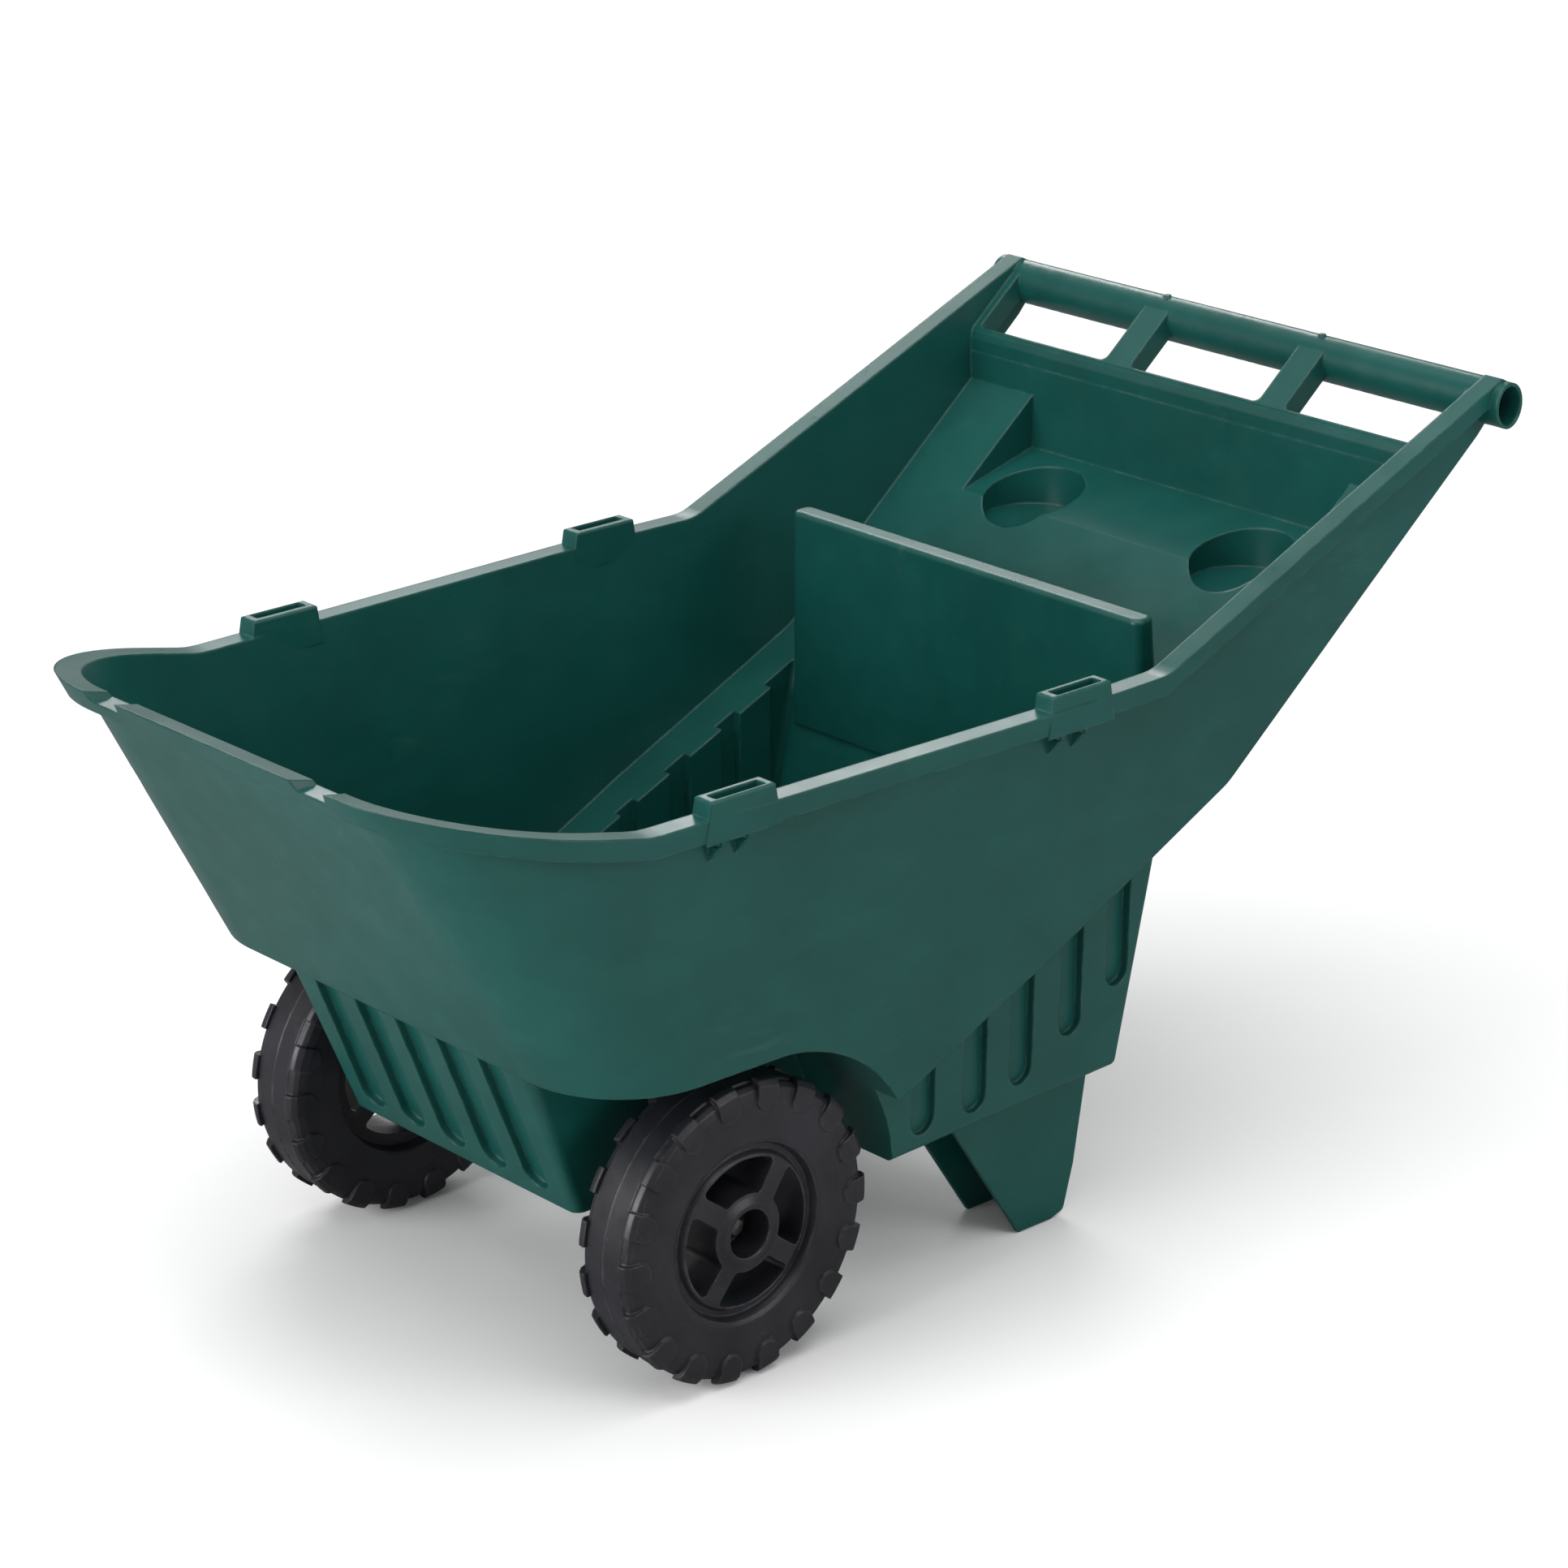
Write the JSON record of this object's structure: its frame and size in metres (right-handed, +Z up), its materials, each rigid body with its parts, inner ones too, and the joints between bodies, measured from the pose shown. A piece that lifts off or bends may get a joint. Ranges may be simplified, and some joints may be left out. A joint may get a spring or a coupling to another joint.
{
  "type": "yard cart",
  "caption": "Moulded plastic yard cart: deep tub with divider ridge, tray with cup recesses, windowed handle panel, feet, and wheels on a steel axle.",
  "frame": {"origin": "on the ground, under the middle of the overall bounding box", "axes": "+Z up, -Y towards the nose, +Y towards the handle, +X to the user's left when pushing (the side nearest the viewer)"},
  "size_m": [0.602, 1.1522, 0.6755],
  "materials": {
    "green_plastic": "satin moulded polyethylene, dark green",
    "black_plastic": "satin moulded plastic, black",
    "steel_rod": "bright drawn rod",
    "zinc_washer": "zinc plated",
    "push_nut": "dark zinc, pressed"
  },
  "bodies": {
    "cart": {"tub_body": "green_plastic", "axle": "steel_rod", "washer_inner_left": "zinc_washer", "washer_inner_right": "zinc_washer", "washer_outer_left": "zinc_washer", "washer_outer_right": "zinc_washer", "push_nut_left": "push_nut", "push_nut_right": "push_nut"},
    "left_wheel": {"wheel_left": "black_plastic"},
    "right_wheel": {"wheel_right": "black_plastic"}
  },
  "joints": [
    {"name": "wheel_left_spin", "type": "hinge", "parent": "cart", "child": "left_wheel", "pos_m": [0.21225, -0.24887, 0.127], "axis": [1, 0, 0], "continuous": true},
    {"name": "wheel_right_spin", "type": "hinge", "parent": "cart", "child": "right_wheel", "pos_m": [-0.21225, -0.24887, 0.127], "axis": [1, 0, 0], "continuous": true}
  ]
}
